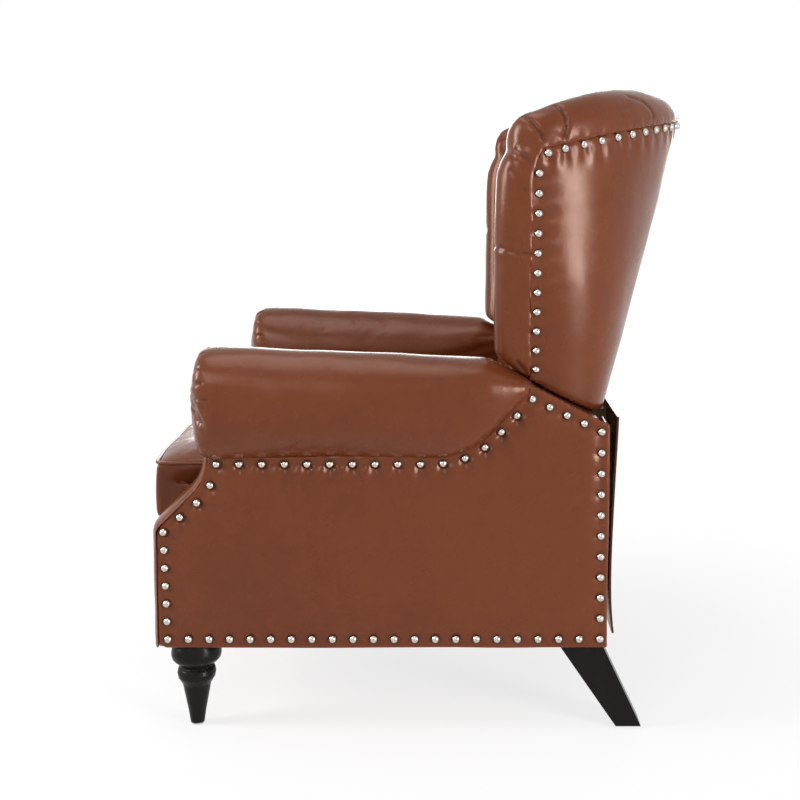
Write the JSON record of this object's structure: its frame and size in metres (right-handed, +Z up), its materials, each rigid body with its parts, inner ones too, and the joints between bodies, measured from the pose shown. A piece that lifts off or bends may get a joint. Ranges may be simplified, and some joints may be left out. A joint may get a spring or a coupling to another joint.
{
  "type": "wingback recliner armchair",
  "caption": "Leather wingback push-back recliner with rolled arms, button-tufted back, nailhead trim, turned front legs, splayed rear legs and a footrest that folds out from under the seat.",
  "frame": {"origin": "on the floor, under the centre of the chair's bounding box", "axes": "+X to the sitter's left, -Y the way the chair faces, +Z up; X = 0 is the plane of symmetry"},
  "size_m": [0.7104, 0.8873, 1.0121],
  "materials": {
    "brown_leather": "semi-gloss brown leather over padding",
    "frame_wood": "bare sawn wood and plywood",
    "black_wood": "black lacquer",
    "black_steel": "satin black paint",
    "spring_steel": "bare spring wire and strip",
    "nickel_steel": "aged nickel plate",
    "glide_plastic": "moulded plastic"
  },
  "bodies": {
    "base": {"arm_frame_left": "frame_wood", "arm_frame_right": "frame_wood", "side_rail_left": "frame_wood", "side_rail_right": "frame_wood", "arm_outer_panel_left": "brown_leather", "arm_outer_panel_right": "brown_leather", "arm_pad_left": "brown_leather", "arm_pad_right": "brown_leather", "arm_facing_left": "brown_leather", "arm_facing_right": "brown_leather", "arm_nailheads_left": "nickel_steel", "arm_nailheads_right": "nickel_steel", "front_rail": "frame_wood", "rear_rail": "black_wood", "front_leg_left": "black_wood", "front_leg_right": "black_wood", "rear_leg_left": "black_wood", "rear_leg_right": "black_wood", "leg_bolts": "nickel_steel", "leg_glides": "glide_plastic", "mechanism_rail_left": "black_steel", "mechanism_rail_right": "black_steel"},
    "back": {"back_frame": "frame_wood", "wing_board_left": "frame_wood", "wing_board_right": "frame_wood", "back_outer_panel": "brown_leather", "back_cushion": "brown_leather", "wing_pad_left": "brown_leather", "wing_pad_right": "brown_leather", "top_roll": "brown_leather", "back_springs": "spring_steel", "back_buttons": "brown_leather", "back_nailheads": "nickel_steel", "back_bracket_left": "black_steel", "back_bracket_right": "black_steel"},
    "rear_flap": {"rear_flap": "brown_leather"},
    "rear_rocker": {"rear_rocker_left": "black_steel", "rear_rocker_right": "black_steel", "torque_tube": "black_steel"},
    "front_rocker": {"front_rocker_left": "black_steel", "front_rocker_right": "black_steel"},
    "seat": {"seat_frame": "frame_wood", "seat_springs": "spring_steel", "spring_clips": "spring_steel", "seat_cushion": "brown_leather", "seat_welt": "brown_leather", "seat_plate_left": "black_steel", "seat_plate_right": "black_steel"},
    "lift_links": {"lift_link_left": "black_steel", "lift_link_right": "black_steel"},
    "guide_links": {"guide_link_left": "black_steel", "guide_link_right": "black_steel"},
    "carrier_links": {"carrier_link_left": "black_steel", "carrier_link_right": "black_steel"},
    "upper_links": {"upper_link_left": "black_steel", "upper_link_right": "black_steel"},
    "footrest": {"footrest_board": "frame_wood", "footrest_pad": "brown_leather", "footrest_bracket_left": "black_steel", "footrest_bracket_right": "black_steel"}
  },
  "joints": [
    {"name": "recline", "type": "hinge", "parent": "base", "child": "back", "pos_m": [0, 0.188, 0.354], "axis": [-1, 0, 0], "range_deg": [0, 30]},
    {"name": "flap_hang", "type": "hinge", "parent": "back", "child": "rear_flap", "pos_m": [0, 0.306, 0.496], "axis": [1, 0, 0], "range_deg": [0, 30.01]},
    {"name": "rear_rocker_swing", "type": "hinge", "parent": "base", "child": "rear_rocker", "pos_m": [0, -0.00576, 0.21718], "axis": [1, 0, 0], "range_deg": [0, 33.01]},
    {"name": "front_rocker_swing", "type": "hinge", "parent": "base", "child": "front_rocker", "pos_m": [0, -0.30576, 0.21718], "axis": [1, 0, 0], "range_deg": [0, 33.01]},
    {"name": "seat_glide", "type": "hinge", "parent": "rear_rocker", "child": "seat", "pos_m": [0, 0.06, 0.352], "axis": [-1, 0, 0], "range_deg": [0, 33.01]},
    {"name": "lift_link_swing", "type": "hinge", "parent": "seat", "child": "lift_links", "pos_m": [0, -0.15, 0.356], "axis": [-1, 0, 0], "range_deg": [0, 88.01]},
    {"name": "guide_link_swing", "type": "hinge", "parent": "seat", "child": "guide_links", "pos_m": [0, -0.086, 0.356], "axis": [-1, 0, 0], "range_deg": [0, 88.01]},
    {"name": "carrier_link_swing", "type": "hinge", "parent": "lift_links", "child": "carrier_links", "pos_m": [0, -0.04537, 0.21199], "axis": [1, 0, 0], "range_deg": [0, 88.01]},
    {"name": "upper_link_swing", "type": "hinge", "parent": "lift_links", "child": "upper_links", "pos_m": [0, -0.06537, 0.26699], "axis": [1, 0, 0], "range_deg": [0, 88.01]},
    {"name": "footrest_tilt", "type": "hinge", "parent": "carrier_links", "child": "footrest", "pos_m": [0, -0.304, 0.254], "axis": [-1, 0, 0], "range_deg": [0, 88.01]}
  ],
  "couplings": [
    {"joint": "flap_hang", "follows": "recline", "ratio": 1},
    {"joint": "rear_rocker_swing", "follows": "recline", "ratio": 1.1},
    {"joint": "front_rocker_swing", "follows": "recline", "ratio": 1.1},
    {"joint": "seat_glide", "follows": "recline", "ratio": 1.1},
    {"joint": "lift_link_swing", "follows": "recline", "ratio": 2.9333},
    {"joint": "guide_link_swing", "follows": "recline", "ratio": 2.9333},
    {"joint": "carrier_link_swing", "follows": "recline", "ratio": 2.9333},
    {"joint": "upper_link_swing", "follows": "recline", "ratio": 2.9333},
    {"joint": "footrest_tilt", "follows": "recline", "ratio": 2.9333}
  ]
}
